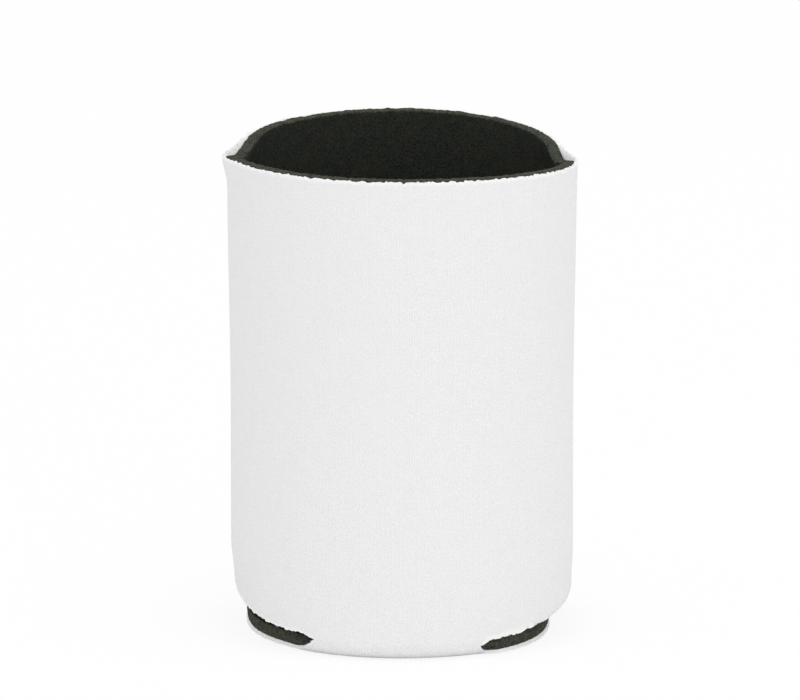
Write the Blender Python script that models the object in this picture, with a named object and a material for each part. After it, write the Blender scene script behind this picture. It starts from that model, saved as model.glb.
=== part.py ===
# A collapsible can cooler: one die-cut blank of foam faced with white knit, folded into
# front wall, base and back wall, and sewn up both sides with the seams turned inwards.
# The front faces -Y and the two seams stand at -X (left) and +X (right).

import math
from collections import namedtuple

import bmesh
import bpy

# Driving dimensions, in metres
POCKET_RADIUS = 0.0324          # inside the foam wall
FOAM_THICKNESS = 0.0024
FABRIC_THICKNESS = 0.00045
LAYER_GAP = 0.0003              # between layers that touch
WALL_HEIGHT = 0.1016            # fabric edge at the middle of the front and of the back
FOAM_PROUD = 0.0004             # the cut foam swells above the fabric edge
RIM_DIP_LEFT = 0.0023           # how much lower the rim is at each seam
RIM_DIP_RIGHT = 0.0033
RIM_SPREAD = 0.0007             # the wall widens a little towards the rim
RIM_SPREAD_HEIGHT = 0.055
CORNER_FLARE_LEFT = 0.0010      # each seam's top corner sticks out
CORNER_FLARE_RIGHT = 0.0002
CORNER_FLARE_HEIGHT_LEFT = 0.006
CORNER_FLARE_HEIGHT_RIGHT = 0.010
BASE_FOLD_RADIUS = 0.0006       # inside the foam, where the walls turn under
BASE_EDGE_FRONT_LEFT = 0.0328   # radius of the base's cut edge beside the fold
BASE_EDGE_FRONT_RIGHT = 0.0338
BASE_EDGE_LEFT = 0.0322         # and at each side
BASE_EDGE_RIGHT = 0.0310
BASE_EDGE_BAND = 0.0012         # outer ring of faces on the base
SLOT_TIP_HEIGHT = 0.0031        # where each slot starts, on the fold
SLOT_OPENING_LEFT = 0.0011      # the wall's edge rises by this much just past the tip
SLOT_OPENING_RIGHT = 0.0003
WALL_FOOT_LEFT = 0.0106         # wall's lower edge at each seam
WALL_FOOT_RIGHT = 0.0088
FOOT_CURL_LEFT = 0.0002         # the lower end of each seam pulls inwards
FOOT_CURL_RIGHT = 0.0003
FOOT_CURL_HEIGHT = 0.008
SEAM_FOLD_RADIUS = 0.0005       # inside the fabric, where each panel turns into the seam
FLANGE_THICKNESS = 0.0019       # foam squeezed by the stitches
FLANGE_REACH = 0.0014           # how far the seam stands into the pocket
THREAD_RADIUS = 0.0002
STITCH_LENGTH = 0.0034
STITCH_WAVE = 0.00015
THREAD_END_MARGIN = 0.003       # from the rim and from the wall's lower edge

# Angles, from the middle of the front or back panel
FOLD_ANGLE = math.radians(30)       # the base is joined to the wall this far each way
TIP_ANGLE = math.radians(3.5)       # next column beyond the slot's tip
CORNER_FLARE_ANGLE = math.radians(22)
FOOT_CURL_ANGLE = math.radians(45)

# Shape of the curves
RIM_DIP_POWER = 1.6
FOOT_RISE_POWER_LEFT = 1.75
FOOT_RISE_POWER_RIGHT = 1.6
SLOT_OPENING_SHARE = 0.08

# Steps
FOLD_COLUMNS = 4
WALL_COLUMNS = 7
CORNER_STEPS = 3
FLANGE_STEPS = 1
WALL_ROWS = 11
FOLD_ROWS = 4
BASE_RINGS = 3

# Worked out
LAMINATE = FABRIC_THICKNESS + LAYER_GAP + FOAM_THICKNESS
FOAM_DEPTH = FABRIC_THICKNESS + LAYER_GAP
OUTER_RADIUS = POCKET_RADIUS + LAMINATE
FOLD_RADIUS = LAMINATE + BASE_FOLD_RADIUS
FOLD_LINE = OUTER_RADIUS - FOLD_RADIUS
SEAM_RADIUS = FOAM_DEPTH + SEAM_FOLD_RADIUS
SEAM_PLANE = LAYER_GAP / 2
FLANGE_FACE = SEAM_PLANE + FOAM_DEPTH + FLANGE_THICKNESS
TIP_TURN = math.asin(1 - SLOT_TIP_HEIGHT / FOLD_RADIUS)
WALL_FOOT_BAND = FOLD_RADIUS - SLOT_TIP_HEIGHT
LAST_COLUMN = math.acos((SEAM_PLANE + SEAM_RADIUS) / (OUTER_RADIUS - SEAM_RADIUS))

# half is 1 for the front panel and -1 for the back; side is 1 at the right and -1 at the left.
# angle runs from the middle of the panel, corner and flange from 0 to 1 into the seam.
Column = namedtuple("Column", "half side angle corner flange")


def smooth(share):
    share = min(max(share, 0.0), 1.0)
    return share * share * (3 - 2 * share)


def mix(start, end, share):
    return start + (end - start) * share


def by_side(column, left, right):
    return right if column.side > 0 else left


# The sheet's shape

def rim_height(column):
    dip = by_side(column, RIM_DIP_LEFT, RIM_DIP_RIGHT)
    return WALL_HEIGHT - dip * math.sin(column.angle) ** (2 * RIM_DIP_POWER)


def beyond_fold(column):
    return max(column.angle - FOLD_ANGLE, 0.0) / (math.pi / 2 - FOLD_ANGLE)


def foot_height(column):
    seam_foot = by_side(column, WALL_FOOT_LEFT, WALL_FOOT_RIGHT)
    power = by_side(column, FOOT_RISE_POWER_LEFT, FOOT_RISE_POWER_RIGHT)
    opening = by_side(column, SLOT_OPENING_LEFT, SLOT_OPENING_RIGHT)
    opening *= smooth(beyond_fold(column) / SLOT_OPENING_SHARE)
    return mix(SLOT_TIP_HEIGHT + opening, seam_foot, beyond_fold(column) ** power)


def base_edge(column):
    front_edge = by_side(column, BASE_EDGE_FRONT_LEFT, BASE_EDGE_FRONT_RIGHT)
    side_edge = by_side(column, BASE_EDGE_LEFT, BASE_EDGE_RIGHT)
    return mix(front_edge, side_edge, smooth(beyond_fold(column)))


def skin_radius(column, z):
    """Outer radius of the wall at this column and height."""
    rim = rim_height(column)
    from_seam = math.pi / 2 - column.angle
    spread = RIM_SPREAD * smooth(1 - (rim - z) / RIM_SPREAD_HEIGHT)
    flare_height = by_side(column, CORNER_FLARE_HEIGHT_LEFT, CORNER_FLARE_HEIGHT_RIGHT)
    flare = by_side(column, CORNER_FLARE_LEFT, CORNER_FLARE_RIGHT)
    flare *= smooth(1 - from_seam / CORNER_FLARE_ANGLE) * smooth(1 - (rim - z) / flare_height)
    curl = by_side(column, FOOT_CURL_LEFT, FOOT_CURL_RIGHT)
    curl *= smooth(1 - from_seam / FOOT_CURL_ANGLE)
    curl *= smooth(1 - (z - foot_height(column)) / FOOT_CURL_HEIGHT)
    return OUTER_RADIUS + spread + flare - curl


def flange_end(radius):
    return radius - LAMINATE - FLANGE_REACH


def layer_outline(column, z, depth):
    """Plan position at a depth below the fabric's outer face, round the turned corner."""
    radius = skin_radius(column, z)
    if column.corner == 0:
        x = (radius - depth) * math.sin(column.angle)
        y = -(radius - depth) * math.cos(column.angle)
    else:
        centre_y = -(SEAM_PLANE + SEAM_RADIUS)
        reach = radius - SEAM_RADIUS
        centre_x = math.sqrt(reach * reach - centre_y * centre_y)
        turn = mix(math.asin(centre_y / reach), math.pi / 2, column.corner)
        x = centre_x + (SEAM_RADIUS - depth) * math.cos(turn)
        y = centre_y + (SEAM_RADIUS - depth) * math.sin(turn)
        x = mix(x, flange_end(radius), column.flange)
    return column.side * x, column.half * y


def pocket_outline(column, z):
    """Plan position on the foam's inner face, which fills the corner and runs down the flange."""
    radius = skin_radius(column, z) - LAMINATE
    crease = math.acos(FLANGE_FACE / radius)
    if column.corner == 0:
        angle = min(column.angle, crease)
        x = radius * math.sin(angle)
        y = -radius * math.cos(angle)
    else:
        step = CORNER_STEPS * column.corner + FLANGE_STEPS * column.flange
        share = step / (CORNER_STEPS + FLANGE_STEPS)
        x = mix(radius * math.sin(crease), flange_end(radius + LAMINATE), share)
        y = -FLANGE_FACE
    return column.side * x, column.half * y


def is_joined(column):
    return column.angle <= FOLD_ANGLE


def fold_point(column, turn, depth):
    """Where the wall turns under, from 0 at the wall to a right angle at the base."""
    radius = FOLD_LINE + (FOLD_RADIUS - depth) * math.cos(turn)
    x = column.side * radius * math.sin(column.angle)
    y = -column.half * radius * math.cos(column.angle)
    return x, y, FOLD_RADIUS - (FOLD_RADIUS - depth) * math.sin(turn)


def wall_column(column, outline, depth, proud):
    """Points from the rim to the cut row, for one column of one face of one layer."""
    top = rim_height(column) + proud
    foot = foot_height(column)
    spring = foot + WALL_FOOT_BAND
    heights = []
    for row in range(WALL_ROWS + 1):
        share = (1 - math.cos(math.pi * row / WALL_ROWS)) / 2
        heights.append(mix(top, spring, share))
    if not is_joined(column):
        heights.append(foot)
    points = [(*outline(column, z), z) for z in heights]
    if is_joined(column):
        points.append(fold_point(column, TIP_TURN, depth))
    return points


def base_column(column, depth):
    """Points from the cut row to the innermost ring of the base."""
    points = []
    for row in range(1, FOLD_ROWS + 1):
        share = row / FOLD_ROWS
        if is_joined(column):
            points.append(fold_point(column, mix(TIP_TURN, math.pi / 2, share), depth))
        else:
            points.append(base_point(column, base_edge(column) - BASE_EDGE_BAND * share, depth))
    start = FOLD_LINE if is_joined(column) else base_edge(column) - BASE_EDGE_BAND
    for ring in range(1, BASE_RINGS + 1):
        points.append(base_point(column, start * (1 - ring / (BASE_RINGS + 1)), depth))
    return points


def base_point(column, radius, depth):
    x = column.side * radius * math.sin(column.angle)
    y = -column.half * radius * math.cos(column.angle)
    return x, y, depth


# Building one layer as a closed body

def side_angles():
    angles = [FOLD_ANGLE * step / FOLD_COLUMNS for step in range(1, FOLD_COLUMNS + 1)]
    start = FOLD_ANGLE + TIP_ANGLE
    for step in range(WALL_COLUMNS + 1):
        angles.append(mix(start, LAST_COLUMN, step / WALL_COLUMNS))
    return angles


def panel_columns(half):
    """Columns of one panel, from its left seam to its right seam."""
    right = [Column(half, 1, angle, 0, 0) for angle in side_angles()]
    for step in range(1, CORNER_STEPS + 1):
        right.append(Column(half, 1, math.pi / 2, step / CORNER_STEPS, 0))
    for step in range(1, FLANGE_STEPS + 1):
        right.append(Column(half, 1, math.pi / 2, 1, step / FLANGE_STEPS))
    left = [column._replace(side=-1) for column in reversed(right)]
    return left + [Column(half, 1, 0.0, 0, 0)] + right


def add_faces(bm, first, second, flip):
    for upper, lower in zip(range(len(first)), range(1, len(first))):
        corners = [first[upper], first[lower], second[lower], second[upper]]
        if flip:
            corners.reverse()
        unique = list(dict.fromkeys(corners))
        if len(unique) > 2:
            bm.faces.new(unique)


def sheet_face(bm, outline, depth, proud, flip):
    """One face of a layer: both panels and the base, as an open surface."""
    edge_columns = []
    for half in (1, -1):
        walls = []
        bases = []
        for column in panel_columns(half):
            wall = [bm.verts.new(p) for p in wall_column(column, outline, depth, proud)]
            walls.append(wall)
            if column.corner == 0:
                base = [bm.verts.new(p) for p in base_column(column, depth)]
                if is_joined(column):
                    start = wall[-1]
                else:
                    start = bm.verts.new(base_point(column, base_edge(column), depth))
                bases.append([start] + base)
        turned = flip if half > 0 else not flip
        for first, second in zip(walls, walls[1:]):
            add_faces(bm, first, second, turned)
        for first, second in zip(bases, bases[1:]):
            add_faces(bm, first, second, turned)
        edge_columns.append((bases[0], bases[-1]))
    (front_left, front_right), (back_left, back_right) = edge_columns
    add_faces(bm, front_right, back_right, flip)
    add_faces(bm, back_left, front_left, flip)


def close_centre(bm, depth, flip):
    """Fill the innermost ring of the base round a centre point."""
    ring = [e for e in bm.edges if e.is_boundary
            and all(abs(v.co.z - depth) < 1e-6 for v in e.verts)
            and all(v.co.xy.length < FOLD_LINE * 0.5 for v in e.verts)]
    centre = bm.verts.new((0, 0, depth))
    for edge in ring:
        corners = [edge.verts[0], edge.verts[1], centre]
        if flip:
            corners.reverse()
        bm.faces.new(corners)


def make_layer(name, material, faces, proud):
    """Two faces of a layer, joined along every cut edge into one closed body."""
    bm = bmesh.new()
    boundaries = []
    for outline, depth, flip in faces:
        known = set(bm.verts)
        sheet_face(bm, outline, depth, proud, flip)
        close_centre(bm, depth, flip)
        boundaries.append([v for v in bm.verts if v not in known])
    outer, inner = boundaries
    partner = dict(zip(outer, inner))
    cut_edges = [e for e in bm.edges if e.is_boundary and all(v in partner for v in e.verts)]
    for edge in cut_edges:
        first, second = edge.verts
        bm.faces.new((first, second, partner[second], partner[first]))
    bmesh.ops.recalc_face_normals(bm, faces=bm.faces)
    mesh = bpy.data.meshes.new(name)
    bm.to_mesh(mesh)
    bm.free()
    mesh.shade_smooth()
    mesh.set_sharp_from_angle(angle=math.radians(35))
    return add_object(name, mesh, material)


# Objects

def clear_scene():
    for item in list(bpy.data.objects):
        bpy.data.objects.remove(item, do_unlink=True)


def make_collection(name):
    collection = bpy.data.collections.new(name)
    bpy.context.scene.collection.children.link(collection)
    return collection


def make_material(name, colour, roughness):
    material = bpy.data.materials.new(name)
    material.use_nodes = True
    shader = material.node_tree.nodes["Principled BSDF"]
    shader.inputs["Base Color"].default_value = (*colour, 1)
    shader.inputs["Roughness"].default_value = roughness
    shader.inputs["Metallic"].default_value = 0.0
    return material


def add_object(name, data, material):
    item = bpy.data.objects.new(name, data)
    item.data.materials.append(material)
    sleeve.objects.link(item)
    return item


def make_foam_core():
    def outer(column, z):
        return layer_outline(column, z, FOAM_DEPTH)
    material = make_material("charcoal_foam", (0.045, 0.043, 0.036), 0.95)
    faces = ((outer, FOAM_DEPTH, False), (pocket_outline, LAMINATE, True))
    return make_layer("foam_core", material, faces, FOAM_PROUD)


def make_fabric_cover():
    def outer(column, z):
        return layer_outline(column, z, 0.0)

    def inner(column, z):
        return layer_outline(column, z, FABRIC_THICKNESS)
    material = make_material("white_knit", (0.80, 0.80, 0.80), 0.85)
    faces = ((outer, 0.0, False), (inner, FABRIC_THICKNESS, True))
    return make_layer("fabric_cover", material, faces, 0.0)


def make_thread(name, half, side, material):
    """One thread of a lockstitch, lying along the flange inside the pocket."""
    seam = Column(half, side, math.pi / 2, 1, 0)
    low = foot_height(seam) + THREAD_END_MARGIN
    high = rim_height(seam) - THREAD_END_MARGIN
    stitches = round((high - low) / STITCH_LENGTH)
    curve = bpy.data.curves.new(name, "CURVE")
    curve.dimensions = "3D"
    curve.bevel_depth = THREAD_RADIUS
    curve.bevel_resolution = 1
    curve.use_fill_caps = True
    spline = curve.splines.new("POLY")
    spline.points.add(2 * stitches)
    for step, point in enumerate(spline.points):
        z = mix(low, high, step / (2 * stitches))
        radius = skin_radius(seam, z)
        lift = LAYER_GAP + THREAD_RADIUS + (STITCH_WAVE if step % 2 else 0.0)
        x = flange_end(radius) + FLANGE_REACH / 3
        point.co = (side * x, -half * (FLANGE_FACE + lift), z, 1)
    return add_object(name, curve, material)


def make_threads():
    material = make_material("seam_thread", (0.06, 0.06, 0.06), 0.6)
    for side_name, side in (("left", -1), ("right", 1)):
        make_thread(side_name + "_seam_needle_thread", 1, side, material)
        make_thread(side_name + "_seam_bobbin_thread", -1, side, material)


clear_scene()
sleeve = make_collection("can_cooler_sleeve")
make_foam_core()
make_fabric_cover()
make_threads()
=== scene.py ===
# Looks of the foam can cooler sleeve: the white knit face, the dark foam behind it with its
# rough cut edges, and the stitches inside the two turned seams.

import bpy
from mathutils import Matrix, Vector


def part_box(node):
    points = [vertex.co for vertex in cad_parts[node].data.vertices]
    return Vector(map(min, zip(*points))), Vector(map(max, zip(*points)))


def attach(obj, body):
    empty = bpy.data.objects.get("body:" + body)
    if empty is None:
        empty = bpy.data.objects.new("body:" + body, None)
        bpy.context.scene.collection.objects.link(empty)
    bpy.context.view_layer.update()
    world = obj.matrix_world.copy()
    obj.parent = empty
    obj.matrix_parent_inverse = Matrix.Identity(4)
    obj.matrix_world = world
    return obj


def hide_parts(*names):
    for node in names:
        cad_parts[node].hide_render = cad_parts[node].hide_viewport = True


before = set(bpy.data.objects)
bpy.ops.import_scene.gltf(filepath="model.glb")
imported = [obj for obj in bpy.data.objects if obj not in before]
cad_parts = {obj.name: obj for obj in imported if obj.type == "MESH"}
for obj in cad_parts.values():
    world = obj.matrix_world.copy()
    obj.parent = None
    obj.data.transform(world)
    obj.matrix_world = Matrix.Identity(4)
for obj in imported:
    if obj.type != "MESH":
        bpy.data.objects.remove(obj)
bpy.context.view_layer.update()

import copy
import math
import random

import bmesh
import bpy
import numpy as np
from mathutils import Vector, noise

FABRIC_LOW, FABRIC_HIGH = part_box("fabric_cover")
FOAM_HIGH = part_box("foam_core")[1]

# The sleeve's shape, in metres. Overall sizes come from the frame, and the others keep close to
# the CAD source, with finer curls added. A pair is for the left and the right side, unless its
# comment says otherwise.

# Wall and rim
WALL_HEIGHT = FABRIC_HIGH[2]
FOAM_PROUD = FOAM_HIGH[2] - FABRIC_HIGH[2]
RIM_SPREAD = 0.0007                     # the wall widens a little towards the rim
RIM_SPREAD_HEIGHT = 0.055
OUTER_RADIUS = (FABRIC_HIGH[1] - FABRIC_LOW[1]) / 2 - RIM_SPREAD
LAMINATE = 0.00315                      # knit and foam together
RIM_TRIM = 0.00015                      # room for the rough edge
RIM_SAG = (0.00075, 0.0021)             # the rim sags towards each seam
RIM_CORNER_DROP = (0.0014, 0.00105)     # and drops beside it
RIM_CORNER_POWER = 12
CORNER_FLARE = (0.0010, 0.0002)         # each seam's top corner sticks out
CORNER_FLARE_HEIGHT = (0.006, 0.010)
CORNER_FLARE_ANGLE = math.radians(22)
RIM_PULL_BACK = (0.0013, 0.0019)        # further round, the rim draws in
RIM_PULL_FRONT = (0.0006, 0.0)
RIM_PULL_START = math.radians(12)
RIM_PULL_END = math.radians(50)
RIM_PULL_HEIGHT = (0.007, 0.014)        # back, front
CORNER_PEEL = (0.0014, 0.0019)          # behind each seam the knit stands above the foam
CORNER_PEEL_ANGLE = (math.radians(30), math.radians(24))
CORNER_PEEL_STEEPNESS = 1.4

# Base and slots
FOLD_ANGLE = (math.radians(30.8), math.radians(27.5))    # the base is joined this far each way
BASE_FOLD_RADIUS = 0.0006
BASE_EDGE_FRONT = (0.0328, 0.0343)      # radius of the base's cut edge beside the fold
BASE_EDGE_SIDE = (0.0320, 0.0304)       # and at the seam
BASE_EDGE_BAND = 0.0012
BASE_LIFT = (0.0004, 0.0001)            # the base's cut edge curls up off the floor
BASE_LIFT_BAND = 0.0040
BASE_CORNER_LIFT = (0.0009, 0.0)        # and curls further beside the seam
BASE_CORNER_POWER = 6
SLOT_TIP_HEIGHT = (0.0037, 0.0024)
TIP_SPAN = (math.radians(24), math.radians(9))    # each slot narrows to its tip over this
TIP_POWER = 4
TIP_OPENING = (0.0008, 0.0010)          # and opens above the tip by this much
TIP_OPENING_SHARE = (0.08, 0.05)
WALL_FOOT = (0.0106, 0.0091)            # the wall's lower edge at the seam
FOOT_RISE_POWER = (1.75, 1.6)
FOOT_CORNER_RISE = (0.0014, 0.0)        # the foot turns up beside the seam
FOOT_CORNER_POWER = 12
FOOT_CURL = (0.0007, 0.0003)            # and pulls inwards
FOOT_CURL_HEIGHT = 0.008
FOOT_CURL_ANGLE = math.radians(45)
FOLD_RADIUS = LAMINATE + BASE_FOLD_RADIUS
FOLD_LINE = OUTER_RADIUS - FOLD_RADIUS

# Turned seams
SEAM_RADIUS = 0.00125
CORNER_ARC = 1.6                        # length of the turned corner, in its radii
SEAM_PLANE = 0.00003                    # the sewn faces touch, but for a hair
FLANGE_REACH = 0.0014                   # how far the seam stands into the pocket
FLANGE_FACE = 0.0028                    # its side, from the plane between the panels
LAST_COLUMN = math.acos((SEAM_PLANE + SEAM_RADIUS) / (OUTER_RADIUS - SEAM_RADIUS))

# The layers as they look: the knit fills the gap that the CAD solids keep
KNIT_THICKNESS = 0.00072
KNIT_CROWN = 0.00008                    # how far the cut edge bulges
KNIT_EDGE_REACH = 0.0007                      # how far in from the edge the rough relief and the painted highlight reach
KNIT_SINK = 0.0012                      # the rim sinks as it turns into the seam
BACK_SINK_SHARE = 2.2                   # on the back panel it sinks later and further
BACK_SINK_POWER = 4
KNIT_PEEL = -0.1                        # behind the seam it rises by a tenth of CORNER_PEEL
FOAM_PEEL = 1.0                         # and the foam's drops by all of it
KNIT_PEEL_SLOPE = 0.0015                # bevels of the knit's edge: behind the seam,
KNIT_BASE_SLOPE = 0.0003                # and on the base
FOAM_DEPTH = 0.00075
FOAM_CROWN = 0.00025
FOAM_EDGE_REACH = 0.0004

# Rough cut edges, as sizes and heights of their teeth
KNIT_TEETH = ((0.0021, 0.00008), (0.0010, 0.00016), (0.0006, 0.00024))
FOAM_TEETH = ((0.0030, 0.00012), (0.0011, 0.00010))
RIM_SEED = 1.7
FOOT_SEED = 5.1
BASE_SEED = 9.4
PANEL_SEED_STEP = 7.3
SIZE_SEED_STEP = 1000
ROUGH_RATE = 12                         # a free edge is fully rough a twelfth of the way along
BASE_ROUGH_SHARE = 0.4                  # the base is cut more cleanly than the rim
FOOT_ROUGH_SHARE = 0.3                  # and so is the last part of the foot
FOOT_CALM_START = 0.75

# Relief of the surfaces
RELIEF_SEED = 1
KNIT_LUMP_SIZE = 0.0006
KNIT_LUMP_HEIGHT = 0.00021
CALM_SHARE = 0.7                        # the relief is this much lower on the cleaner edges
CALM_BASE_EDGE = (0.0010, 0.0012)       # height, and the band that it fades over
CALM_BACK_CORNER = (0.024, 0.005)       # distance to the side, and the band
CALM_FOOT_CORNER = (0.030, 0.003)
BACK_START = 0.001                      # the back panel lies beyond this
LOW_EDGES = 0.02                        # the foot and the base lie below this
FOAM_PIT_SIZE = 0.0007
FOAM_LUMP_SIZE = 0.0019
FOAM_LUMP_SHARE = 0.6
FOAM_FACE_RELIEF = 0.00003
FOAM_CUT_RELIEF = 0.00011
FOAM_CUT_SINK = 0.00004

# Loose fibres
FIBRE_SEED = 11
FIBRES_PER_METRE = 4200
FIBRE_LENGTH = 0.0004
FIBRE_LEAST_SHARE = 0.4                 # the shortest one, as a share of that length
FIBRE_ROOT_SHARE = 0.3                  # this much of that length starts inside the cloth
FIBRE_ROOT_SPREAD = 0.7                 # roots lie over this share of the knit's thickness
FIBRE_TILT = 0.9
FIBRE_BEND = 1.6
FIBRE_RADIUS = 0.00004
FIBRE_TAPER = 0.6
FIBRE_RINGS = 4
FIBRE_SIDES = 3
TUFT_CHANCE = 0.03
TUFT_FIBRES = 6
LOW_FIBRE_SHARE = 0.6                   # the low edges have fewer fibres
CLEAN_FIBRE_SHARE = 0.1                 # and the lowest, and those beside the seam, hardly any
CLEAN_BELOW = 0.002
CLEAN_BESIDE = 0.031

# Stitches
THREAD_RADIUS = 0.0002
STITCH_LENGTH = 0.0034
STITCH_STEPS = 10
STITCH_LIFT = 0.00014
STITCH_DIVE = 0.0004
STITCH_STEEPNESS = 2.0
STITCH_SLANT = 0.00012
STITCH_LINE = FLANGE_REACH / 3          # how far the threads lie from the flange's end

# Columns and rows of the fine meshes
FOLD_COLUMNS = 60
FREE_COLUMNS = 130
CORNER_COLUMNS = 8
FLANGE_COLUMNS = 8
WALL_ROWS = 36
ROW_CROWDING = 0.95
FOLD_ROWS = 8
BASE_RINGS = 7
KNIT_EDGE_STEPS = 3
FOAM_EDGE_STEPS = 7
SHARP_BELOW = 0.0045                    # the base's cut edges keep their corners
SHARP_ANGLE = math.radians(40)
WELD_DISTANCE = 2e-6
SHORTEST_EDGE = 1e-7
ANGLE_HAIR = 1e-9
UP = np.array([0.0, 0.0, 1.0])


def smooth(share):
    share = np.clip(share, 0.0, 1.0)
    return share * share * (3 - 2 * share)


def mix(start, end, share):
    return start + (end - start) * share


class Panel:
    """Columns of the front panel (half 1) or the back one (half -1), from left seam to right seam.

    Each column has its angle, 0 at the middle and a right angle in the seam. In the seam, corner
    goes from 0 to 1 round the turned corner, and then flange from 0 to 1 into the pocket.
    """

    def __init__(self, half):
        self.half = half
        in_seam = CORNER_COLUMNS + FLANGE_COLUMNS
        angles = []
        for fold_angle in FOLD_ANGLE:
            fold = np.arange(FOLD_COLUMNS + 1) / FOLD_COLUMNS * fold_angle
            free = np.arange(1, FREE_COLUMNS + 1) / FREE_COLUMNS
            seam = np.full(in_seam, math.pi / 2)
            angles.append(np.concatenate([fold, mix(fold_angle, LAST_COLUMN, free), seam]))
        left, right = angles
        corner = np.zeros(len(right))
        corner[-in_seam:] = np.clip(np.arange(1, in_seam + 1) / CORNER_COLUMNS, 0, 1)
        flange = np.zeros(len(right))
        flange[-FLANGE_COLUMNS:] = np.arange(1, FLANGE_COLUMNS + 1) / FLANGE_COLUMNS
        self.angle = np.concatenate([left[:0:-1], right])
        self.corner = np.concatenate([corner[:0:-1], corner])
        self.flange = np.concatenate([flange[:0:-1], flange])
        self.side = np.concatenate([-np.ones(len(left) - 1), np.ones(len(right))])
        self.is_left = self.side < 0
        self.fold_angle = self.by_side(FOLD_ANGLE)
        self.joined = self.angle <= self.fold_angle + ANGLE_HAIR
        self.tip_height = self.by_side(SLOT_TIP_HEIGHT)
        self.tip_turn = np.arcsin(1 - self.tip_height / FOLD_RADIUS)
        self.arc = self.corner == 0
        self.along = self.side * (self.angle * OUTER_RADIUS
                                  + self.corner * SEAM_RADIUS * CORNER_ARC
                                  + self.flange * (LAMINATE + FLANGE_REACH))

    def pick(self, mask):
        """The same panel with only the masked columns."""
        part = copy.copy(self)
        for name, values in vars(self).items():
            if name != "half":
                setattr(part, name, values[mask])
        return part

    def by_side(self, pair):
        return np.where(self.is_left, pair[0], pair[1])


def column_noise(panel, seed, teeth):
    """Roughness along a cut edge, one value a column."""
    total = np.zeros(len(panel.angle))
    row = panel.half * PANEL_SEED_STEP + seed
    for size, height in teeth:
        places = [Vector((a / size, row, size * SIZE_SEED_STEP)) for a in panel.along]
        total += height * np.array([noise.noise(p) for p in places])
    return total


def rim_height(panel):
    across_panel = np.sin(panel.angle)
    dip = RIM_TRIM + panel.by_side(RIM_SAG) * across_panel ** 2
    dip = dip + panel.by_side(RIM_CORNER_DROP) * across_panel ** RIM_CORNER_POWER
    return WALL_HEIGHT - dip


def beyond_fold(panel):
    """From 0 where the wall is joined to the base up to 1 at the seam."""
    beyond = np.maximum(panel.angle - panel.fold_angle, 0.0)
    return beyond / (math.pi / 2 - panel.fold_angle)


def rough_share(panel):
    """How rough the free edges are: they start smooth at the slot's tip."""
    return smooth(beyond_fold(panel) * ROUGH_RATE)


def foot_height(panel):
    rise = beyond_fold(panel) ** panel.by_side(FOOT_RISE_POWER)
    opened = smooth(beyond_fold(panel) / panel.by_side(TIP_OPENING_SHARE))
    opening = panel.by_side(TIP_OPENING) * opened
    turned_up = panel.by_side(FOOT_CORNER_RISE) * beyond_fold(panel) ** FOOT_CORNER_POWER
    return mix(panel.tip_height + opening, panel.by_side(WALL_FOOT), rise) + turned_up


def base_edge(panel):
    front_edge = panel.by_side(BASE_EDGE_FRONT)
    return mix(front_edge, panel.by_side(BASE_EDGE_SIDE), smooth(beyond_fold(panel)))


def behind_seam(panel):
    """From 1 at each seam of the back panel down to 0 further round."""
    from_seam = (math.pi / 2 - panel.angle) / panel.by_side(CORNER_PEEL_ANGLE)
    peeled = smooth(CORNER_PEEL_STEEPNESS - CORNER_PEEL_STEEPNESS * from_seam)
    return peeled * (panel.half < 0)


def skin_radius(panel, z):
    """Outer radius of the wall at each column and height."""
    rim = rim_height(panel)
    from_seam = math.pi / 2 - panel.angle
    spread = RIM_SPREAD * smooth(1 - (rim - z) / RIM_SPREAD_HEIGHT)
    flare = panel.by_side(CORNER_FLARE) * smooth(1 - from_seam / CORNER_FLARE_ANGLE)
    flare = flare * smooth(1 - (rim - z) / panel.by_side(CORNER_FLARE_HEIGHT))
    pull = panel.by_side(RIM_PULL_BACK if panel.half < 0 else RIM_PULL_FRONT)
    pull = pull * smooth(from_seam / RIM_PULL_START) * smooth(1 - from_seam / RIM_PULL_END)
    pull = pull * smooth(1 - (rim - z) / RIM_PULL_HEIGHT[0 if panel.half < 0 else 1])
    curl = panel.by_side(FOOT_CURL) * smooth(1 - from_seam / FOOT_CURL_ANGLE)
    curl = curl * smooth(1 - (z - foot_height(panel)) / FOOT_CURL_HEIGHT)
    return OUTER_RADIUS + spread + flare - pull - curl


def flange_end(radius):
    return radius - LAMINATE - FLANGE_REACH


def place(panel, x, y, z):
    x, y, z = np.broadcast_arrays(panel.side * x, panel.half * y, z)
    return np.stack([x, y, z], axis=-1)


def layer_points(panel, z, depth):
    """Points at a depth below the knit's outer face, round the turned corner of the seam."""
    radius = skin_radius(panel, z)
    centre_y = -(SEAM_PLANE + SEAM_RADIUS)
    reach = radius - SEAM_RADIUS
    centre_x = np.sqrt(reach * reach - centre_y * centre_y)
    turn = mix(np.arcsin(centre_y / reach), math.pi / 2, panel.corner)
    corner_x = centre_x + (SEAM_RADIUS - depth) * np.cos(turn)
    corner_x = mix(corner_x, flange_end(radius), panel.flange)
    corner_y = centre_y + (SEAM_RADIUS - depth) * np.sin(turn)
    x = np.where(panel.arc, (radius - depth) * np.sin(panel.angle), corner_x)
    y = np.where(panel.arc, -(radius - depth) * np.cos(panel.angle), corner_y)
    return place(panel, x, y, z)


def pocket_points(panel, z):
    """Points on the foam's inner face, which runs down the side of each seam's flange."""
    radius = skin_radius(panel, z) - LAMINATE
    crease = np.arccos(FLANGE_FACE / radius)
    angle = np.minimum(panel.angle, crease)
    share = CORNER_COLUMNS * panel.corner + FLANGE_COLUMNS * panel.flange
    share = share / (CORNER_COLUMNS + FLANGE_COLUMNS)
    seam_x = mix(radius * np.sin(crease), flange_end(radius + LAMINATE), share)
    x = np.where(panel.arc, radius * np.sin(angle), seam_x)
    y = np.where(panel.arc, -radius * np.cos(angle), -FLANGE_FACE)
    return place(panel, x, y, z)


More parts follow.
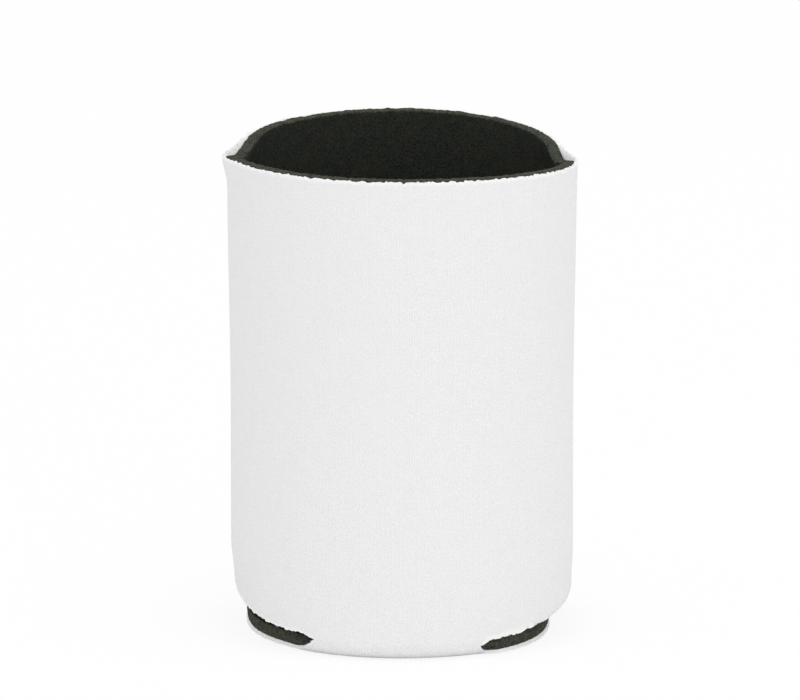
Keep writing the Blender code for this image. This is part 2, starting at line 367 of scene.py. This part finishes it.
def fold_points(panel, turn, depth):
    """Where the wall turns under, from 0 at the wall to a right angle at the base."""
    radius = FOLD_LINE + (FOLD_RADIUS - depth) * np.cos(turn)
    z = FOLD_RADIUS - (FOLD_RADIUS - depth) * np.sin(turn)
    return place(panel, radius * np.sin(panel.angle), -radius * np.cos(panel.angle), z)


def base_points(panel, radius, depth):
    return place(panel, radius * np.sin(panel.angle), -radius * np.cos(panel.angle), depth)


def row_shares(rows):
    """Shares from 0 to 1 that crowd towards both cut edges."""
    step = np.arange(rows + 1) / rows
    return step - ROW_CROWDING * np.sin(2 * math.pi * step) / (2 * math.pi)


class Layer:
    """One layer of the laminate. In a pair, its outer face comes before its inner one.

    Depths lie below the knit's outer face, and faces are the functions that give the wall's
    points. Edge_steps, crown and teeth shape the cut edges, and the edge reach is how far in from
    them the cut value goes: the rough relief, the knit's painted highlight and the foam's cut
    colour. Proud lifts the rim, sink lowers it in the seams and peel behind them.
    """

    def __init__(self, depths, faces, edge_steps, crown, teeth, edge_reach, peel, proud=0.0, sink=0.0,
                 peel_slope=0.0, base_slope=0.0):
        self.depths = depths
        self.faces = faces
        self.edge_steps = edge_steps
        self.crown = crown
        self.teeth = teeth
        self.edge_reach = edge_reach
        self.peel = peel
        self.proud = proud
        self.sink = sink
        self.peel_slope = peel_slope
        self.base_slope = base_slope


def wall_face(layer, panel, which):
    """The wall's points on one face of a layer, rows by columns, from rim to cut row."""
    shares = row_shares(WALL_ROWS)[:, None]
    turned_in = smooth(panel.corner)
    if panel.half < 0:
        turned_in = BACK_SINK_SHARE * panel.corner ** BACK_SINK_POWER
    top = rim_height(panel) + layer.proud - layer.sink * turned_in
    top = top - layer.peel * panel.by_side(CORNER_PEEL) * behind_seam(panel)
    top = top - layer.peel_slope * which * behind_seam(panel) * panel.arc
    top = top + column_noise(panel, RIM_SEED, layer.teeth)
    calm = smooth((beyond_fold(panel) - FOOT_CALM_START) / (1 - FOOT_CALM_START))
    rough = column_noise(panel, FOOT_SEED, layer.teeth) * rough_share(panel)
    foot = foot_height(panel) + rough * mix(1.0, FOOT_ROUGH_SHARE, calm)
    spring = foot + FOLD_RADIUS - panel.tip_height
    z = mix(top, spring, shares)
    points = layer.faces[which](panel, z)
    last = layer.faces[which](panel, foot)
    turned = fold_points(panel, panel.tip_turn, layer.depths[which])
    last = np.where(panel.joined[:, None], turned, last)
    return np.concatenate([points, last[None]])


def base_face(layer, panel, which):
    """The base's points on one face of a layer, from its cut edge or fold to the last ring."""
    depth = layer.depths[which]
    is_free = rough_share(panel)
    rough = column_noise(panel, BASE_SEED, layer.teeth) * is_free * BASE_ROUGH_SHARE
    edge = base_edge(panel) + rough + layer.base_slope * (1 - which) * is_free
    past_tip = np.clip((panel.angle - panel.fold_angle) / panel.by_side(TIP_SPAN), 0, 1)
    free = smooth(past_tip)
    cut_height = panel.tip_height * (1 - past_tip) ** TIP_POWER
    cut_turn = np.arcsin(1 - cut_height / FOLD_RADIUS)
    band = mix(BASE_EDGE_BAND, BASE_LIFT_BAND, free)
    lift = panel.by_side(BASE_LIFT)
    lift = lift + panel.by_side(BASE_CORNER_LIFT) * beyond_fold(panel) ** BASE_CORNER_POWER
    rows = []
    for share in np.arange(FOLD_ROWS + 1) / FOLD_ROWS:
        turned = fold_points(panel, mix(cut_turn, math.pi / 2, share), depth)
        flat = base_points(panel, edge - band * share, depth + lift * (1 - share) ** 2)
        rows.append(mix(turned, flat, free[:, None]))
    start = mix(FOLD_LINE, edge - band, free)
    for ring in range(1, BASE_RINGS + 1):
        rows.append(base_points(panel, start * (1 - ring / (BASE_RINGS + 1)), depth))
    return np.stack(rows)


class Patches:
    """Grids of points with their quads, and the two lines of each cut edge."""

    def __init__(self):
        self.points = []
        self.quads = []
        self.uv = []
        self.cut = []
        self.cut_lines = []
        self.count = 0

    def add(self, grid, u, v, cut=0.0):
        """A grid of points, rows by columns, with its place on the cloth and its cut value."""
        rows, columns = grid.shape[:2]
        index = self.count + np.arange(rows * columns).reshape(rows, columns)
        quads = np.stack([index[:-1, :-1], index[1:, :-1], index[1:, 1:], index[:-1, 1:]], axis=-1)
        self.points.append(grid.reshape(-1, 3))
        self.quads.append(quads.reshape(-1, 4))
        place_on_cloth = np.stack(np.broadcast_arrays(u, v), axis=-1)
        self.uv.append(np.broadcast_to(place_on_cloth, (rows, columns, 2)).reshape(-1, 2))
        self.cut.append(np.broadcast_to(cut, (rows, columns)).reshape(-1))
        self.count += rows * columns

    def make(self, name):
        points = np.concatenate(self.points)
        quads = np.concatenate(self.quads)
        mesh = bpy.data.meshes.new(name)
        mesh.from_pydata(points, [], quads.tolist())
        cloth = mesh.uv_layers.new(name="cloth")
        uv = np.concatenate(self.uv)[quads.reshape(-1)]
        cloth.data.foreach_set("uv", uv.astype(np.float32).reshape(-1))
        cut = mesh.attributes.new("cut", "FLOAT", "POINT")
        cut.data.foreach_set("value", np.concatenate(self.cut).astype(np.float32))
        weld(mesh)
        return mesh


def weld(mesh):
    """Joins the patches into one closed skin, and keeps the corners of the base's cut edges."""
    bm = bmesh.new()
    bm.from_mesh(mesh)
    bmesh.ops.remove_doubles(bm, verts=bm.verts, dist=WELD_DISTANCE)
    bmesh.ops.dissolve_degenerate(bm, edges=bm.edges, dist=SHORTEST_EDGE)
    holes = [e for e in bm.edges if e.is_boundary]
    bmesh.ops.holes_fill(bm, edges=holes, sides=0)
    bmesh.ops.triangulate(bm, faces=[f for f in bm.faces if len(f.verts) > 4])
    bmesh.ops.recalc_face_normals(bm, faces=bm.faces)
    for edge in bm.edges:
        if max(v.co.z for v in edge.verts) < SHARP_BELOW and len(edge.link_faces) == 2:
            edge.smooth = edge.calc_face_angle() < SHARP_ANGLE
    bm.to_mesh(mesh)
    bm.free()


def across(first, second, steps, lift, crown):
    """Points across a cut edge, from one face of a layer to the other.

    They bulge along lift, by crown in the middle.
    """
    shares = np.arange(steps + 1) / steps
    rows = [mix(first, second, s) + lift * crown * 4 * s * (1 - s) for s in shares]
    return np.stack(rows)


def edge_share_along(layer, panel, wall):
    """From 1 on a cut edge down to 0 at the edge reach below the rim or above the foot.
    Behind each seam the reach below the rim grows by the corner peel, so the knit standing above
    the foam there takes the painted highlight too, and the foam keeps its cut colour as far down.
    """
    height = wall[..., 2]
    from_rim = height[0] - height
    from_foot = np.where(panel.joined, 1.0, height - height[-1])
    # Behind each seam the reach grows: on the knit this spreads the painted highlight over the
    # strip above the foam.
    reach = layer.edge_reach + panel.by_side(CORNER_PEEL) * behind_seam(panel)
    return np.maximum(smooth(1 - from_rim / reach), smooth(1 - from_foot / layer.edge_reach))


def add_wall(patches, layer, panel):
    """Both faces of a panel's wall, its rim and the ends of its flanges. Returns the faces."""
    walls = []
    for which in (0, 1):
        wall = wall_face(layer, panel, which)
        patches.add(wall, panel.along + panel.half, wall[..., 2], edge_share_along(layer, panel, wall))
        walls.append(wall)
    outer, inner = walls
    rim = across(outer[0], inner[0], layer.edge_steps, UP, layer.crown)
    patches.add(rim, panel.along + panel.half, rim[..., 2], 1.0)
    patches.cut_lines.append((outer[0][panel.arc], inner[0][panel.arc], UP))
    for end in (0, -1):
        edge = across(outer[:, end], inner[:, end], layer.edge_steps, UP, 0.0)
        patches.add(edge, edge[..., 1], edge[..., 2], 1.0)
    return walls


def add_foot(patches, layer, panel, walls, side):
    """The wall's lower cut edge, from the slot's tip to the seam on one side."""
    free = (panel.side == side) & (panel.angle >= panel.fold_angle - ANGLE_HAIR)
    outer, inner = walls[0][-1], walls[1][-1]
    foot = across(outer[free], inner[free], layer.edge_steps, -UP, layer.crown)
    patches.add(foot, panel.along[free], foot[..., 2], 1.0)
    on_arc = free & panel.arc
    patches.cut_lines.append((outer[on_arc], inner[on_arc], -UP))


def add_base_edge(patches, layer, arcs, bases, side):
    """The base's cut edge below that foot."""
    free = (arcs.side == side) & (arcs.angle >= arcs.fold_angle - ANGLE_HAIR)
    outer, inner = bases[0][0][free], bases[1][0][free]
    outwards = base_points(arcs.pick(free), 1.0, 0.0)
    edge = across(outer, inner, layer.edge_steps, outwards, layer.crown)
    patches.add(edge, arcs.along[free], edge[..., 2], 1.0)
    patches.cut_lines.append((outer, inner, outwards))


def add_base_faces(patches, layer, arcs, front_bases, back_bases):
    """Both faces of the base, each a stack of full rings."""
    for front, back in zip(front_bases, back_bases):
        ring = np.concatenate([front, back[:, ::-1], front[:, :1]], axis=1)
        inwards = np.linalg.norm(ring[0] - ring, axis=-1)
        free = np.concatenate([~arcs.joined, ~arcs.joined[::-1], ~arcs.joined[:1]])
        cut = smooth(1 - inwards / layer.edge_reach) * free
        patches.add(ring, ring[..., 0], ring[..., 1], cut)


def build_layer(name, layer):
    """The layer's mesh, and the two lines of each of its cut edges with the way it points."""
    patches = Patches()
    rings = []
    for half in (1, -1):
        panel = Panel(half)
        walls = add_wall(patches, layer, panel)
        arcs = panel.pick(panel.arc)
        bases = [base_face(layer, arcs, which) for which in (0, 1)]
        for side in (-1, 1):
            add_foot(patches, layer, panel, walls, side)
            add_base_edge(patches, layer, arcs, bases, side)
        rings.append(bases)
    add_base_faces(patches, layer, arcs, *rings)
    return patches.make(name), patches.cut_lines


def displace(mesh, shift):
    """Moves each vertex by shift(place, normal, cut), but not into the floor."""
    mesh.update()
    cuts = mesh.attributes["cut"].data
    normals = [v.normal.copy() for v in mesh.vertices]
    for vertex, normal, cut in zip(mesh.vertices, normals, cuts):
        place_now = vertex.co + shift(vertex.co, normal, cut.value)
        place_now.z = max(place_now.z, 0.0)
        vertex.co = place_now
    mesh.update()


def add_piece(name, mesh, material):
    piece = bpy.data.objects.new(name, mesh)
    bpy.context.scene.collection.objects.link(piece)
    mesh.materials.clear()
    mesh.materials.append(material)
    return piece


# Materials and their colours

KNIT_SHADE = (0.730, 0.730, 0.733, 1)
KNIT_BRIGHT = (0.900, 0.900, 0.902, 1)
# painted highlight: the cut edges, the base's rim and the knit behind each seam take this colour,
# brighter than the face
KNIT_CUT_HIGHLIGHT = (0.905, 0.905, 0.902, 1)
FOAM_OLIVE = (0.030, 0.041, 0.030, 1)
FOAM_BROWN = (0.062, 0.059, 0.042, 1)
FOAM_FLECK = (0.092, 0.099, 0.077, 1)
# painted shade, together with the skin's own darker tone: the uncut faces, which line the pocket
# and the slots, are mixed by the share below towards this near-black
FOAM_SKIN_SHADE = (0.010, 0.012, 0.011, 1)
FOAM_SKIN_SHADE_SHARE = 0.62
# painted shade of the pores
FOAM_PORE_SHADE = (0.012, 0.014, 0.012, 1)
# painted shade in the grooves of the thread's twist
THREAD_GROOVE_SHADE = (0.030, 0.030, 0.032, 1)
THREAD_LIGHT = (0.090, 0.090, 0.092, 1)


class Nodes:
    """Short helper for building a node tree."""

    def __init__(self, name):
        self.material = bpy.data.materials.new(name)
        self.material.use_nodes = True
        self.tree = self.material.node_tree
        self.shader = self.tree.nodes["Principled BSDF"]

    def add(self, kind, inputs=(), **settings):
        node = self.tree.nodes.new(kind)
        for key, value in settings.items():
            setattr(node, key, value)
        for key, value in dict(inputs).items():
            self.feed(node.inputs[key], value)
        return node

    def feed(self, socket, value):
        if isinstance(value, bpy.types.NodeSocket):
            self.tree.links.new(value, socket)
        else:
            socket.default_value = value

    def math(self, operation, first, second=0.0, third=0.0):
        return self.add("ShaderNodeMath", {0: first, 1: second, 2: third},
                        operation=operation).outputs[0]

    def blend(self, share, first, second):
        node = self.add("ShaderNodeMix", data_type="RGBA")
        self.feed(node.inputs["Factor"], share)
        self.feed(node.inputs["A"], first)
        self.feed(node.inputs["B"], second)
        return node.outputs["Result"]

    def ramp(self, value, low, high):
        return self.add("ShaderNodeMapRange", {"Value": value, "From Min": low, "From Max": high},
                        clamp=True).outputs["Result"]


def knit_material():
    """White weft knit: rows of V-shaped loops, with a painted highlight along the cut edges."""
    wale = 0.00052                      # width of a column of loops
    course = 0.00044                    # height of a row of loops
    slant = 1.2                         # how steep the arms of each V are
    wander = 1.6                        # how far the rows wander
    n = Nodes("white_knit_look")
    uv = n.add("ShaderNodeUVMap", uv_map="cloth").outputs["UV"]
    spot = n.add("ShaderNodeTexCoord").outputs["Object"]
    jitter = n.add("ShaderNodeTexNoise", {"Vector": spot, "Scale": 900.0, "Detail": 2.0})
    parts = n.add("ShaderNodeSeparateXYZ", {"Vector": uv})
    shift = n.math("SUBTRACT", jitter.outputs["Fac"], 0.5)
    u = n.math("MULTIPLY_ADD", parts.outputs["X"], 1 / wale, shift)
    v = n.math("MULTIPLY_ADD", parts.outputs["Y"], 1 / course, n.math("MULTIPLY", shift, wander))
    across_wale = n.math("ABSOLUTE", n.math("SUBTRACT", n.math("FRACT", u), 0.5))
    rib = n.math("SUBTRACT", 1.0, n.math("MULTIPLY", n.math("POWER", across_wale, 2.0), 4.0))
    phase = n.math("ADD", v, n.math("MULTIPLY", across_wale, slant))
    loop = n.math("MULTIPLY_ADD", n.math("SINE", n.math("MULTIPLY", phase, 2 * math.pi)), 0.5, 0.5)
    knit = n.math("MULTIPLY_ADD", rib, 0.5, n.math("MULTIPLY", loop, 0.5))
    on_knit = n.add("ShaderNodeCombineXYZ", {"X": u, "Y": n.math("MULTIPLY", v, 0.8)})
    yarn = n.add("ShaderNodeTexNoise", {"Vector": on_knit.outputs["Vector"], "Scale": 1.3,
                                        "Detail": 2.0, "Roughness": 0.65})
    blotch = n.add("ShaderNodeTexNoise", {"Vector": spot, "Scale": 420.0, "Detail": 3.0})
    fuzz = n.add("ShaderNodeTexNoise", {"Vector": spot, "Scale": 5200.0, "Detail": 2.0})
    cut = n.add("ShaderNodeAttribute", attribute_name="cut").outputs["Fac"]
    # Painted shade, with the yarn's own uneven tone: the loop pattern that the bump raises also
    # darkens the colour in its valleys, while the yarn and blotch noise vary it at random.
    tone = n.math("MULTIPLY_ADD", knit, 0.45, n.math("MULTIPLY", blotch.outputs["Fac"], 0.20))
    tone = n.math("ADD", yarn.outputs["Fac"], tone)
    colour = n.blend(n.ramp(tone, 0.45, 1.30), KNIT_SHADE, KNIT_BRIGHT)
    # Painted highlight: where the cut value is high, the knit takes the brighter cut colour.
    colour = n.blend(cut, colour, KNIT_CUT_HIGHLIGHT)
    height = n.math("MULTIPLY_ADD", fuzz.outputs["Fac"], 0.35, knit)
    strength = n.math("MULTIPLY_ADD", cut, -0.45, 0.5)
    bump = n.add("ShaderNodeBump", {"Height": height, "Strength": strength,
                                    "Distance": 0.00008})
    n.feed(n.shader.inputs["Base Color"], colour)
    n.feed(n.shader.inputs["Normal"], bump.outputs["Normal"])
    n.shader.inputs["Roughness"].default_value = 0.92
    n.shader.inputs["Specular IOR Level"].default_value = 0.2
    n.shader.inputs["Sheen Weight"].default_value = 0.08
    return n.material


def foam_material():
    """Dark open-cell foam: mottled olive and brown. Painted shade colours its pores near-black,
    and darkens its uncut faces together with the skin's own darker tone.
    """
    n = Nodes("charcoal_foam_look")
    spot = n.add("ShaderNodeTexCoord").outputs["Object"]
    patch = n.add("ShaderNodeTexNoise", {"Vector": spot, "Scale": 520.0, "Detail": 4.0})
    grain = n.add("ShaderNodeTexNoise", {"Vector": spot, "Scale": 2400.0, "Detail": 3.0})
    cells = n.add("ShaderNodeTexVoronoi", {"Vector": spot, "Scale": 1900.0})
    colour = n.blend(n.ramp(patch.outputs["Fac"], 0.35, 0.65), FOAM_OLIVE, FOAM_BROWN)
    colour = n.blend(n.ramp(grain.outputs["Fac"], 0.45, 0.75), colour, FOAM_FLECK)
    cut = n.add("ShaderNodeAttribute", attribute_name="cut").outputs["Fac"]
    # Painted shade, together with the skin's own darker tone: where the cut value is 0, the colour
    # is mixed towards near-black.
    colour = n.blend(cut, n.blend(FOAM_SKIN_SHADE_SHARE, colour, FOAM_SKIN_SHADE), colour)
    # Painted shade: the pores, which the bump below sinks, are coloured near-black.
    pores = n.ramp(cells.outputs["Distance"], 0.12, 0.42)
    colour = n.blend(pores, FOAM_PORE_SHADE, colour)
    height = n.math("ADD", pores, n.math("MULTIPLY", grain.outputs["Fac"], 0.8))
    bump = n.add("ShaderNodeBump", {"Height": height, "Strength": 0.7, "Distance": 0.00015})
    n.feed(n.shader.inputs["Base Color"], colour)
    n.feed(n.shader.inputs["Normal"], bump.outputs["Normal"])
    n.shader.inputs["Roughness"].default_value = 0.97
    n.shader.inputs["Specular IOR Level"].default_value = 0.15
    return n.material


def thread_material():
    """Twisted charcoal sewing thread, painted darker in the grooves of its twist as their shade.
    """
    n = Nodes("seam_thread_look")
    spot = n.add("ShaderNodeTexCoord").outputs["Object"]
    twist = n.add("ShaderNodeTexWave", {"Vector": spot, "Scale": 900.0, "Distortion": 0.6},
                  bands_direction="DIAGONAL")
    # Painted shade: the twist's low bands, which the bump sinks, take the dark colour.
    colour = n.blend(twist.outputs["Fac"], THREAD_GROOVE_SHADE, THREAD_LIGHT)
    bump = n.add("ShaderNodeBump", {"Height": twist.outputs["Fac"], "Strength": 0.6,
                                    "Distance": 0.00005})
    n.feed(n.shader.inputs["Base Color"], colour)
    n.feed(n.shader.inputs["Normal"], bump.outputs["Normal"])
    n.shader.inputs["Roughness"].default_value = 0.6
    return n.material


# Pieces

def knit_calm(spot):
    """1 on the knit's cleaner cut edges, the base's and those beside the seams, 0 elsewhere."""
    height, height_band = CALM_BASE_EDGE
    back, back_band = CALM_BACK_CORNER
    foot, foot_band = CALM_FOOT_CORNER
    base_edge_share = smooth(1 - (spot.z - height) / height_band)
    back_corner_share = smooth((abs(spot.x) - back) / back_band) * (spot.y > BACK_START)
    foot_corner_share = smooth((abs(spot.x) - foot) / foot_band) * (spot.z < LOW_EDGES)
    return max(base_edge_share, back_corner_share, foot_corner_share)


def make_knit(material):
    """The white knit face, one cloth from the front rim under the base to the back rim."""
    layer = Layer(
        depths=(0.0, KNIT_THICKNESS),
        faces=(lambda panel, z: layer_points(panel, z, 0.0),
               lambda panel, z: layer_points(panel, z, KNIT_THICKNESS)),
        edge_steps=KNIT_EDGE_STEPS, crown=KNIT_CROWN, teeth=KNIT_TEETH, edge_reach=KNIT_EDGE_REACH,
        peel=KNIT_PEEL, sink=KNIT_SINK, peel_slope=KNIT_PEEL_SLOPE, base_slope=KNIT_BASE_SLOPE)
    mesh, cut_lines = build_layer("knit_face", layer)
    lumps = 1 / KNIT_LUMP_SIZE

    def relief(spot, normal, cut):
        lump = noise.noise_vector(spot * lumps) * KNIT_LUMP_HEIGHT * cut
        return lump * float(1 - CALM_SHARE * knit_calm(spot))
    displace(mesh, relief)
    mesh.shade_smooth()
    piece = add_piece("knit_face", mesh, material)
    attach(piece, "root")
    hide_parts("fabric_cover")
    return piece, cut_lines


def make_foam(material):
    """The dark foam behind the knit, with pits over its cut edges and its inner face."""
    layer = Layer(
        depths=(FOAM_DEPTH, LAMINATE),
        faces=(lambda panel, z: layer_points(panel, z, FOAM_DEPTH), pocket_points),
        edge_steps=FOAM_EDGE_STEPS, crown=FOAM_CROWN, teeth=FOAM_TEETH, edge_reach=FOAM_EDGE_REACH,
        peel=FOAM_PEEL, proud=FOAM_PROUD - FOAM_CROWN)
    mesh, _ = build_layer("foam_body", layer)
    pits = 1 / FOAM_PIT_SIZE
    lumps = 1 / FOAM_LUMP_SIZE

    def relief(spot, normal, cut):
        depth = FOAM_FACE_RELIEF + FOAM_CUT_RELIEF * cut
        bumps = noise.noise(spot * pits) + FOAM_LUMP_SHARE * noise.noise(spot * lumps)
        return normal * (depth * bumps - FOAM_CUT_SINK * cut)
    displace(mesh, relief)
    mesh.shade_smooth()
    piece = add_piece("foam_body", mesh, material)
    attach(piece, "root")
    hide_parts("foam_core")
    return piece


def fibre_share(spot):
    """How many fibres stand at this place, as a share of those on the rim."""
    x, _, z = spot
    if z >= LOW_EDGES:
        return 1.0
    if z < CLEAN_BELOW or abs(x) > CLEAN_BESIDE:
        return CLEAN_FIBRE_SHARE
    return LOW_FIBRE_SHARE


def make_fibres(cut_lines, material):
    """Loose fibres along the knit's cut edges: thin curved hairs that taper to a point."""
    dice = random.Random(FIBRE_SEED)
    points = []
    faces = []
    for outer, inner, lift in cut_lines:
        steps = np.linalg.norm(np.diff(outer, axis=0), axis=1)
        for column, step in enumerate(steps):
            tuft = TUFT_FIBRES if dice.random() < TUFT_CHANCE else 0
            expected = (step * FIBRES_PER_METRE + tuft) * fibre_share(outer[column])
            for _ in range(int(expected) + (dice.random() < expected % 1)):
                start = mix(outer[column], outer[column + 1], dice.random())
                start = mix(start, inner[column], dice.random() * FIBRE_ROOT_SPREAD)
                away = lift if np.ndim(lift) == 1 else lift[column]
                add_fibre(points, faces, dice, Vector(start), Vector(away))
    for point in points:
        point.z = max(point.z, 0.0)
    mesh = bpy.data.meshes.new("edge_fibres")
    mesh.from_pydata(points, [], faces)
    mesh.shade_smooth()
    piece = add_piece("edge_fibres", mesh, material)
    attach(piece, "root")
    return piece


def add_fibre(points, faces, dice, start, away):
    """One hair: rings of FIBRE_SIDES points that bend and taper, and a last point at its end."""
    length = FIBRE_LENGTH * (FIBRE_LEAST_SHARE + dice.random() ** 2)
    tilt = Vector([dice.uniform(-1, 1) for _ in range(3)])
    heading = (away + tilt * FIBRE_TILT).normalized()
    bend = Vector([dice.uniform(-1, 1) for _ in range(3)]) * FIBRE_BEND
    spot = start - away * FIBRE_LENGTH * FIBRE_ROOT_SHARE
    first = len(points)
    for ring in range(FIBRE_RINGS):
        side = heading.orthogonal().normalized()
        other = heading.cross(side)
        radius = FIBRE_RADIUS * (1 - FIBRE_TAPER * ring / FIBRE_RINGS)
        for corner in range(FIBRE_SIDES):
            turn = 2 * math.pi * corner / FIBRE_SIDES
            points.append(spot + (side * math.cos(turn) + other * math.sin(turn)) * radius)
        spot = spot + heading * length / FIBRE_RINGS
        heading = (heading + bend / FIBRE_RINGS).normalized()
    points.append(spot)
    faces.append((first + 2, first + 1, first))
    for ring in range(FIBRE_RINGS - 1):
        low = first + FIBRE_SIDES * ring
        high = low + FIBRE_SIDES
        for corner in range(FIBRE_SIDES):
            after = (corner + 1) % FIBRE_SIDES
            faces.append((low + corner, low + after, high + after, high + corner))
    last = first + FIBRE_SIDES * (FIBRE_RINGS - 1)
    for corner in range(FIBRE_SIDES):
        faces.append((last + corner, last + (corner + 1) % FIBRE_SIDES, len(points) - 1))


def make_stitches(node_name, material):
    """One thread of a lockstitch: short floats on the foam that dive in at every needle hole."""
    low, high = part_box(node_name)
    half = 1 if high[1] < 0 else -1
    side = 1 if low[0] > 0 else -1
    start = low[2] + THREAD_RADIUS
    end = high[2] - THREAD_RADIUS
    stitches = round((end - start) / STITCH_LENGTH)
    seam = Panel(half).pick(np.array([0 if side < 0 else -1]))
    dice = random.Random(len(node_name))
    curve = bpy.data.curves.new(node_name + "_stitches", "CURVE")
    curve.dimensions = "3D"
    curve.bevel_depth = THREAD_RADIUS
    curve.bevel_resolution = 2
    curve.use_fill_caps = True
    spline = curve.splines.new("POLY")
    spline.points.add(stitches * STITCH_STEPS)
    slant = 0.0
    for step, point in enumerate(spline.points):
        share = step % STITCH_STEPS / STITCH_STEPS
        if step % STITCH_STEPS == 0:
            slant = dice.uniform(-STITCH_SLANT, STITCH_SLANT)
        z = mix(start, end, step / (stitches * STITCH_STEPS))
        rise = min(1.0, math.sin(math.pi * share) * STITCH_STEEPNESS)
        depth = mix(-STITCH_DIVE, STITCH_LIFT, rise)
        line = flange_end(skin_radius(seam, z)[0]) + STITCH_LINE
        x = line + slant * math.sin(math.pi * share)
        point.co = (side * x, -half * (FLANGE_FACE + depth), z, 1)
    piece = bpy.data.objects.new(node_name + "_stitches", curve)
    bpy.context.scene.collection.objects.link(piece)
    curve.materials.append(material)
    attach(piece, "root")
    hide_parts(node_name)
    return piece


# Light, floor and camera

PIXELS_PER_METRE = 4820.0
IMAGE_WIDTH = 800
CAMERA_DISTANCE = 5.0
CAMERA_ELEVATION = math.radians(12.9)
AIM = Vector((-0.0004, 0.0, 0.0580))
LAMP_AIM = Vector((0, 0, 0.05))
WORLD_LIGHT = 0.90
WHITE = (1, 1, 1, 1)
FLOOR_COLOUR = (0.94, 0.94, 0.94, 1)
FLOOR_SIZE = 6.0
FLOOR_HEIGHT = -0.00015
FLOOR_GLOW = 0.88                       # share of white in what the camera sees of the floor


def make_floor():
    bpy.ops.mesh.primitive_plane_add(size=FLOOR_SIZE, location=(0, 0, FLOOR_HEIGHT))
    floor = bpy.context.object
    floor.name = "floor"
    n = Nodes("pale_floor")
    n.shader.inputs["Base Color"].default_value = FLOOR_COLOUR
    n.shader.inputs["Roughness"].default_value = 0.9
    n.shader.inputs["Specular IOR Level"].default_value = 0.0
    glow = n.add("ShaderNodeEmission", {"Color": WHITE, "Strength": 1.0})
    rays = n.add("ShaderNodeLightPath")
    seen = n.math("MULTIPLY", rays.outputs["Is Camera Ray"], FLOOR_GLOW)
    mixer = n.add("ShaderNodeMixShader", {0: seen, 1: n.shader.outputs[0], 2: glow.outputs[0]})
    output = n.tree.nodes["Material Output"]
    n.tree.links.new(mixer.outputs[0], output.inputs["Surface"])
    floor.data.materials.append(n.material)


def make_world():
    world = bpy.data.worlds.new("studio")
    bpy.context.scene.world = world
    world.use_nodes = True
    tree = world.node_tree
    light = tree.nodes["Background"]
    light.inputs["Color"].default_value = WHITE
    light.inputs["Strength"].default_value = WORLD_LIGHT
    backdrop = tree.nodes.new("ShaderNodeBackground")
    backdrop.inputs["Color"].default_value = WHITE
    backdrop.inputs["Strength"].default_value = 1.0
    rays = tree.nodes.new("ShaderNodeLightPath")
    mixer = tree.nodes.new("ShaderNodeMixShader")
    tree.links.new(rays.outputs["Is Camera Ray"], mixer.inputs[0])
    tree.links.new(light.outputs[0], mixer.inputs[1])
    tree.links.new(backdrop.outputs[0], mixer.inputs[2])
    tree.links.new(mixer.outputs[0], tree.nodes["World Output"].inputs["Surface"])


def make_lamp(name, place_at, size, power):
    data = bpy.data.lights.new(name, "AREA")
    data.shape = "DISK"
    data.size = size
    data.energy = power
    lamp = bpy.data.objects.new(name, data)
    lamp.location = place_at
    aim = LAMP_AIM - Vector(place_at)
    lamp.rotation_euler = aim.to_track_quat("-Z", "Y").to_euler()
    bpy.context.scene.collection.objects.link(lamp)


def make_camera():
    data = bpy.data.cameras.new("camera")
    data.sensor_width = 36.0
    data.lens = PIXELS_PER_METRE * CAMERA_DISTANCE * data.sensor_width / IMAGE_WIDTH
    data.clip_end = 50.0
    camera = bpy.data.objects.new("camera", data)
    back = Vector((0, -math.cos(CAMERA_ELEVATION), math.sin(CAMERA_ELEVATION)))
    camera.location = AIM + back * CAMERA_DISTANCE
    camera.rotation_euler = (-back).to_track_quat("-Z", "Y").to_euler()
    bpy.context.scene.collection.objects.link(camera)
    bpy.context.scene.camera = camera


make_camera()
make_world()
make_floor()
make_lamp("front_softbox", place_at=(0.5, -2.15, 0.6), size=2.4, power=7.5)
make_lamp("top_softbox", place_at=(0.2, -0.3, 1.6), size=1.0, power=3.5)
bpy.context.scene.view_settings.view_transform = "Standard"

noise.seed_set(RELIEF_SEED)      # without it the knit's relief would differ in every run
knit_look = knit_material()
knit, knit_edges = make_knit(knit_look)
fibres = make_fibres(knit_edges, knit_look)
foam = make_foam(foam_material())
thread_look = thread_material()
for node_name in sorted(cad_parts):
    if "thread" in node_name:
        make_stitches(node_name, thread_look)
